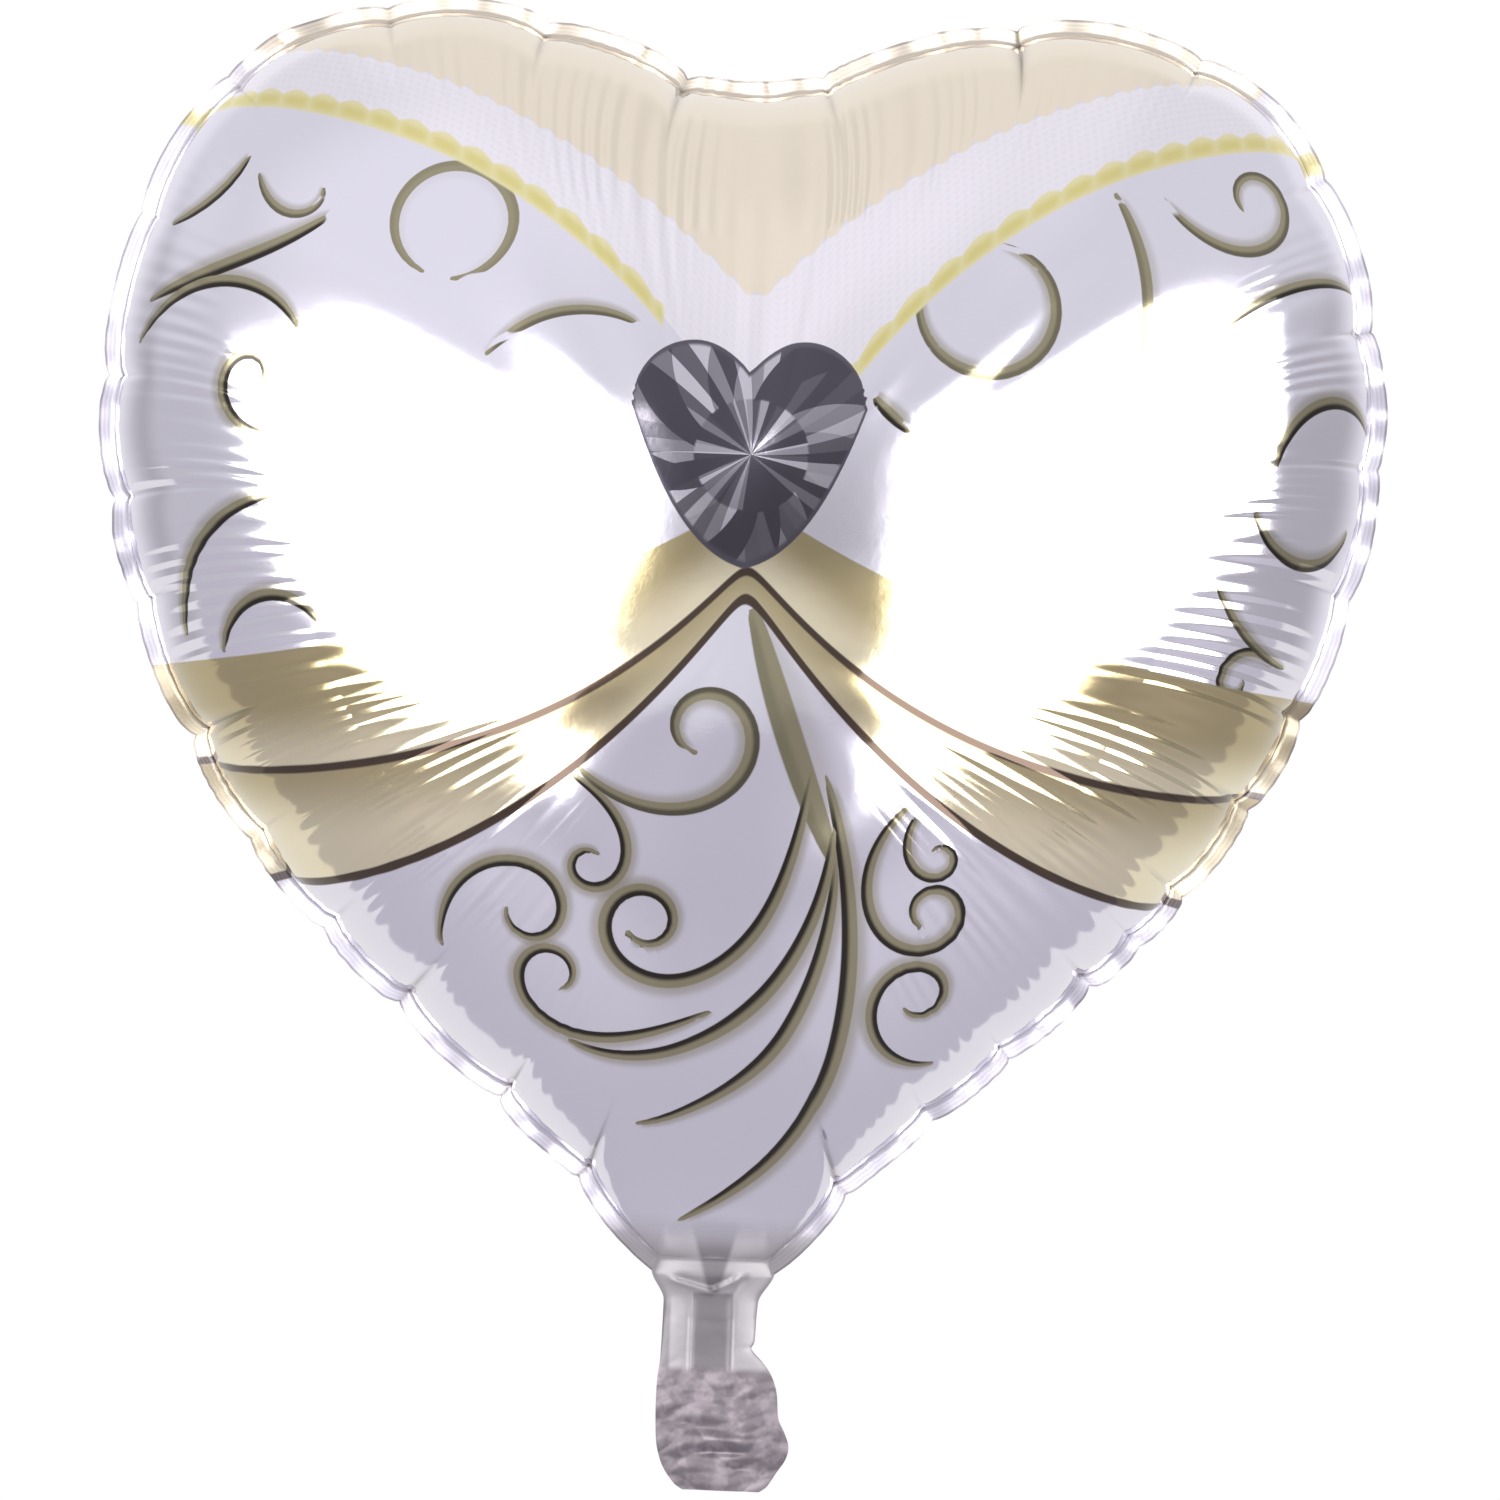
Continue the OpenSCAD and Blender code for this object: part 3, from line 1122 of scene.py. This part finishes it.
    def strokes(self, paper: Array, curls: list[Curl]) -> Array:
        """Measures each place against the nearest stroke of a layer.

        Args:
            paper: Places in the flat film.
            curls: The layer's strokes.

        Returns:
            Three columns: the signed distance across the stroke over half its width, the
            distance to the stroke over half its width, and the stroke's tone, which fades
            towards its ends.
        """
        result = np.full((len(paper), 3), self.farthest)
        for curl in curls:
            line, half = curl.line()
            low, high = line.min(0) - self.reach, line.max(0) + self.reach
            near = np.flatnonzero(((paper > low) & (paper < high)).all(1))
            start, along = line[:-1], np.diff(line, axis=0)
            away = paper[near, None] - start
            share = np.clip((away * along).sum(-1) / (along ** 2).sum(-1), 0, 1)
            across = away - share[..., None] * along
            reach = np.linalg.norm(across, axis=-1)
            width = half[:-1] * (1 - share) + half[1:] * share
            best = np.argmin(reach / width, axis=1)
            pick = np.arange(len(near)), best
            turn = along[best, 0] * away[pick][:, 1] - along[best, 1] * away[pick][:, 0]
            far = np.minimum(reach[pick] / width[pick], self.farthest)
            closer = far < result[near, 1]
            chosen = near[closer]
            result[chosen, 0] = (np.sign(turn) * far)[closer]
            result[chosen, 1] = far[closer]
            along_share = (best + share[pick]) / len(along)
            result[chosen, 2] = (curl.tone * np.minimum(1, 4 * np.sin(np.pi * along_share)))[closer]
        result[result[:, 1] >= self.farthest, 2] = 0
        return result

    def write(self, mesh: bpy.types.Mesh, paper: Array) -> None:
        """Stores the print's distances on a mesh.

        Args:
            mesh: The film's mesh.
            paper: Each vertex's place in the flat film and its run from the seam, in millimetres.
        """
        x, y, run = paper.T
        band = self.bands(x, y)
        strokes = [(f"stroke_{i}", self.strokes(paper[:, :2], curls).T)
                   for i, curls in enumerate(self.sorted_curls())]
        for name, columns in (
                ("paper_mm", (x - self.axis_x, y, run)),
                ("dress_mm", (band["neckline"], band["trim"], self.gem(x, y))),
                ("sash_mm", (band["sash_top"], band["sash_mid"], band["sash_low"])), *strokes):
            layer = mesh.attributes.new(name, "FLOAT_VECTOR", "POINT")
            layer.data.foreach_set("vector", np.stack(columns, -1).astype(np.float32).ravel())


@dataclass(frozen=True)
class PrintedFoil:
    """Metallised nylon film, gravure printed: a mirror under thin inks and a clear coat.

    The pearl and cream inks are nearly opaque, so they look like satin; the gold of the sash
    is a clear lacquer, so it mirrors the room and darkens where the room is dark.
    """

    pearl: str = "E6E3F1"
    cream: str = "F0E5D3"
    lace: str = "F3EFF8"
    gold: str = "E8DDC2"
    deep_gold: str = "B2A47F"
    brown: str = "4A3A30"
    ink: str = "241C14"
    olive: str = "9C957B"
    braid_light: str = "EDE5B6"
    braid_dark: str = "E2D78F"
    gem_dark: str = "4A4654"
    gem_light: str = "D2CEDB"
    gem_rim: str = "5C5866"
    weld_grey: str = "8E8994"
    cut_grey: str = "5E5862"
    # Colour of the shade painted along the deep creases.
    painted_crease_shade: str = "564A42"
    metallic: float = 0.92
    tail_metallic: float = 0.16
    roughness: float = 0.1
    tail_roughness: float = 0.42
    coat: float = 0.6
    coat_roughness: float = 0.04
    scallop: float = 13.0
    gem_y: float = 52.0
    gem_core: float = 16.0

    def make(self) -> bpy.types.Material:
        """Builds the material."""
        surface = Surface("printed_metallised_film")
        x, y, run = split(surface.read("paper_mm"))
        neckline, trim, gem = split(surface.read("dress_mm"))
        tail = split(surface.read("rest_mm"))[2].step(16, 2)
        metal = tail * (self.tail_metallic - self.metallic) + self.metallic
        colour = tail.mix(self.pearl, BareFoil().colour(surface))
        colour = self.scrollwork(surface, colour)
        colour, sash = self.sash(surface, colour)
        colour = self.yoke(colour, abs(x), neckline, trim)
        colour, stone = self.gemstone(colour, x, y, gem)

        weld = run.step(0.1, -0.5)
        ribbed = (run.wave(1.2) * 0.1 + 0.32).mix(colour, self.weld_grey)
        colour = weld.mix(colour, ribbed)
        colour = (run.step(-4.1, -4.7) * 0.6).mix(colour, self.cut_grey)
        # Painted shade: the colour is darkened along the deep creases in place of the shadow in their
        # folds.
        shade = surface.read("crease_shade", "Fac").step(0.05, 0.7) * 0.75
        return surface.finish({
            "Base Color": shade.mix(colour, self.painted_crease_shade),
            "Metallic": weld * -0.45 + (metal | sash * 0.95 | stone * 0.8),
            "Roughness": weld * 0.3 + tail * (self.tail_roughness - self.roughness) + self.roughness,
            "Coat Weight": tail * -self.coat + self.coat, "Coat Roughness": self.coat_roughness,
            "Normal": surface.crinkle(surface.noise(0.16, 4.0), 0.06, 0.0004)})

    def scrollwork(self, surface: Surface, colour: Value) -> Value:
        """Inks the strokes: olive bodies with one dark edge, over a soft olive shade.

        Where the nearest stroke changes, the signed distance passes 0 far from any stroke, and
        straight keeps the shade away from there.

        Args:
            surface: The material.
            colour: The ground.

        Returns:
            The colour with the strokes on it.
        """
        strokes = [split(surface.read(f"stroke_{i}")) for i in range(Print.layers)]
        for signed, far, tone in strokes:
            soft = signed.step(3.4, 0.9) * signed.step(-1.3, -0.5) * far.step(3.4, 1.8)
            straight = (far - abs(signed)).step(0.8, 0.3)
            colour = (soft * tone.step(0, 0.5) * straight * 0.6).mix(colour, self.olive)
        for signed, far, tone in strokes:
            inside = abs(signed).step(1.1, 0.9) * far.step(1.5, 1.3) | far.step(0.95, 0.8)
            edge = tone.mix(self.olive, self.ink)
            colour = inside.mix(colour, signed.step(0.25, -0.45).mix(self.olive, edge))
        return colour

    def sash(self, surface: Surface, colour: Value) -> tuple[Value, Value]:
        """Lays the gold sash in two folds, with brown lines between them and along the hem.

        Args:
            surface: The material.
            colour: The ground.

        Returns:
            The colour with the sash on it, and the sash's mask.
        """
        top, middle, low = split(surface.read("sash_mm"))
        mask = top.step(0.3, -0.3) * low.step(-0.3, 0.3)
        lower = middle.step(-26, 2).mix(self.gold, self.deep_gold)
        upper = middle.step(1, 22).mix(self.gold, self.deep_gold)
        gold = middle.step(-0.3, 0.3).mix(lower, upper)
        gold = abs(middle).step(1.7, 0.9).mix(gold, self.brown)
        colour = mask.mix(colour, gold)
        return abs(low - 0.8).step(1.9, 1.2).mix(colour, self.brown), mask

    def yoke(self, colour: Value, aside: Value, neckline: Value, trim: Value) -> Value:
        """Lays the lace, the cream yoke above its scalloped border, and the braid.

        The lace is a net of 2.5 mm diamonds. The braid is about 7 mm wide, pale gold, with a
        soft lump every 10 mm along its upper edge.

        Args:
            colour: The ground.
            aside: Distance from the print's middle line.
            neckline: Height over the yoke's lower border.
            trim: Height over the braid's middle.

        Returns:
            The colour with them on it.
        """
        net = ((aside + trim).wave(5) * (aside - trim).wave(5)).step(0.1, 0.7) * 0.25
        lace = trim.step(-0.3, 0.3) * neckline.step(0.3, -0.3)
        colour = lace.mix(colour, net.mix(self.lace, self.pearl))
        border = abs(aside.wave(self.scallop)) * 2.2 + neckline
        colour = border.step(0.8, 1.8).mix(colour, self.cream)
        lump = abs(aside.wave(20))
        top = lump * -2.2 + (trim - 2.2)
        inside = top.step(0.6, -0.6) * trim.step(-3.8, -2.6) * aside.step(26, 28)
        deep = lump.step(-0.4, 0.9) * abs(trim).step(3.6, 0.4)
        return inside.mix(colour, deep.mix(self.braid_light, self.braid_dark))

    def gemstone(self, colour: Value, x: Value, y: Value, gem: Value) -> tuple[Value, Value]:
        """Lays a cut stone: wedges round its middle, each lit at random, in two rings.

        Args:
            colour: The ground.
            x: Places across the print.
            y: Places up the print.
            gem: How far inside the stone's outline a place is.

        Returns:
            The colour with the stone on it, and the stone's mask.
        """
        up = y - self.gem_y
        turn, out = up.calc("ARCTAN2", x), (up * up + x * x).calc("SQRT")
        tones = []
        for wedges, seed, lean in ((26, 3.0, 0.0), (17, 8.0, 0.05), (41, 5.0, -0.02)):
            wedge = (out * lean + turn * (wedges / (2 * math.pi))).calc("FLOOR")
            lit = add_node(x.tree, "ShaderNodeTexWhiteNoise", {"W": wedge + seed},
                           noise_dimensions="1D")
            tones.append(Value(lit.outputs["Value"]))
        core = out.step(self.gem_core + 1, self.gem_core)
        shade = (tones[0] * 0.6 + tones[2] * 0.4) * core
        shade = shade + (tones[1] * 0.55 + tones[2] * 0.45) * (core * -1.0 + 1.0)
        stone = shade.step(0.42, 0.95).mix(self.gem_dark, self.gem_light)
        stone = gem.step(2.2, 0.8).mix(stone, self.gem_rim)
        inside = gem.step(-0.2, 0.2)
        return inside.mix(colour, stone), inside


@dataclass
class Studio:
    """A white room with a pale floor, two softboxes in front of the balloon, and the camera.

    Attributes:
        centre: What the camera looks at.
        view_w: Width of the view at the balloon.
        distance: How far away the camera stands.
        roll: How far the camera leans, in degrees.
        floor_z: Height of the floor.
        floor_half: Half the floor's size.
        floor_paint: The floor's colour.
        lamp: The colour of the softboxes.
        air: The colour of the room.
        panels: Each glowing panel's name, corners and strength.
        base: How bright the whole room is.
        glows: How much brighter parts of the room are, and where each lies, as steps along
            the directions x, y and z, with aside for x without its sign.
        brightest: The most that the room shines on the balloon.
        backdrop: How bright the room is where the camera sees it.
    """

    centre: tuple = (0.0056, 0.0, 0.1533)
    view_w: float = 0.448
    distance: float = 2.0
    roll: float = -2.0
    floor_z: float = -1.6
    floor_half: float = 6.0
    floor_paint: str = "D6D4D8"
    lamp: str = "FFFEFB"
    air: str = "FCFBFD"
    panels: tuple = (
        ("left_softbox", ((-4.4, -2.5, -1.1), (-2.2, -2.5, -1.35), (-1.1, -2.5, -1.2), (-0.4, -2.5, 0.25),
                          (-0.2, -2.5, 1.3), (-1.3, -2.5, 1.35), (-5.9, -2.5, 1.7)), 6.0),
        ("right_softbox", ((0.8, -2.5, -1.2), (2.0, -2.5, -1.42), (3.2, -2.5, -1.1), (9.5, -2.5, -0.5),
                           (9.5, -2.5, 3.9), (1.62, -2.5, 1.55), (0.6, -2.5, 1.25)), 6.0),
        ("white_card", ((-6, 0.8, -1.58), (6, 0.8, -1.58), (6, 6, -1.58), (-6, 6, -1.58)), 0.92))
    base: float = 0.5
    glows: tuple = ((0.42, (("y", 0.3, 0.85),)), (0.34, (("z", 0.05, 0.55),)),
                    (0.09, (("aside", 0.5, 0.1), ("z", 0.55, 0.85))),
                    (0.16, (("x", 0.2, -0.4), ("y", -0.2, -0.6))),
                    (0.14, (("x", -0.8, -0.97), ("y", 0.35, 0.1))),
                    (0.32, (("y", -0.9, -0.985), ("z", 0.05, -0.06))))
    brightest: float = 0.98
    backdrop: float = 1.05

    def camera(self) -> None:
        """Makes the camera, level with the belly and leaning a little."""
        data = bpy.data.cameras.new("camera")
        data.sensor_width = 36
        data.lens = data.sensor_width * self.distance / self.view_w
        data.clip_end = 50
        camera = bpy.data.objects.new("camera", data)
        bpy.context.scene.collection.objects.link(camera)
        camera.location = Vector(self.centre) + Vector((0, -self.distance, 0))
        camera.rotation_euler = Euler((math.radians(90), math.radians(self.roll), 0))
        bpy.context.scene.camera = camera

    def flat(self, name: str, corners: tuple, material: bpy.types.Material,
             seen: bool = True) -> None:
        """Adds a flat face to the stage.

        Args:
            name: The object's name.
            corners: Its corners, in order round it.
            material: What it is made of.
            seen: Whether it shows anywhere but in reflections.
        """
        mesh = bpy.data.meshes.new(name)
        mesh.from_pydata(corners, [], [tuple(range(len(corners)))])
        mesh.materials.append(material)
        item = bpy.data.objects.new(name, mesh)
        bpy.context.scene.collection.objects.link(item)
        item.visible_camera = item.visible_diffuse = seen

    def lights(self) -> None:
        """Hangs the panels, which show only as reflections in the film."""
        for name, corners, strength in self.panels:
            glow = Surface(f"{name}_glow")
            glow.tree.nodes.remove(glow.tree.nodes["Principled BSDF"])
            lit = add_node(glow.tree, "ShaderNodeEmission", {"Color": self.lamp, "Strength": strength})
            feed(glow.tree, glow.tree.nodes["Material Output"], {"Surface": Value(lit.outputs[0])})
            self.flat(name, corners, glow.material, seen=False)

    def floor(self) -> None:
        """Makes the plain pale floor."""
        paint = Surface("pale_floor_paint").finish({"Base Color": self.floor_paint, "Roughness": 0.7})
        half, z = self.floor_half, self.floor_z
        self.flat("floor", ((-half, -half, z), (half, -half, z), (half, half, z), (-half, half, z)),
                  paint)

    def world(self) -> None:
        """Gives the even light of a white room, dimmer behind the camera and to the sides."""
        world = bpy.data.worlds.new("white_room")
        bpy.context.scene.world = world
        world.use_nodes = True
        tree = world.node_tree
        way = dict(zip("xyz", split(Value(add_node(tree, "ShaderNodeTexCoord").outputs["Generated"]))))
        way["aside"] = abs(way["x"])
        glows = []
        for strength, steps in self.glows:
            masks = [way[axis].step(low, high) for axis, low, high in steps]
            glows.append(math.prod(masks[1:], start=masks[0]) * strength)
        light = (sum(glows[1:], start=glows[0]) + self.base).calc("MINIMUM", self.brightest)
        seen = Value(add_node(tree, "ShaderNodeLightPath").outputs["Is Camera Ray"])
        feed(tree, tree.nodes["Background"], {"Color": self.air, "Strength": light | seen * self.backdrop})


def main() -> None:
    """Builds the balloon and its studio."""
    logging.basicConfig(level=logging.INFO)
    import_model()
    bpy.context.scene.view_settings.view_transform = "Standard"
    studio = Studio()
    studio.camera()
    studio.world()
    studio.floor()
    studio.lights()
    balloon, dress = Balloon.from_frame(), Print()
    printed, bare, clear = PrintedFoil().make(), BareFoil().make(), ClearFilm().make()
    for side in Side:
        film, paper = balloon.film(side)
        dress.write(film.data, paper / MM * (-side.value, 1, 1))
        end, valves = balloon.end(side), balloon.valve(side)
        balloon.declare(film, end, valves)
        for piece, finish in ((film, printed), (end, bare), *((valve, clear) for valve in valves)):
            piece.data.materials.append(finish)
            LOG.info("%s: %d faces", piece.name, len(piece.data.polygons))


if __name__ == "__main__":
    main()
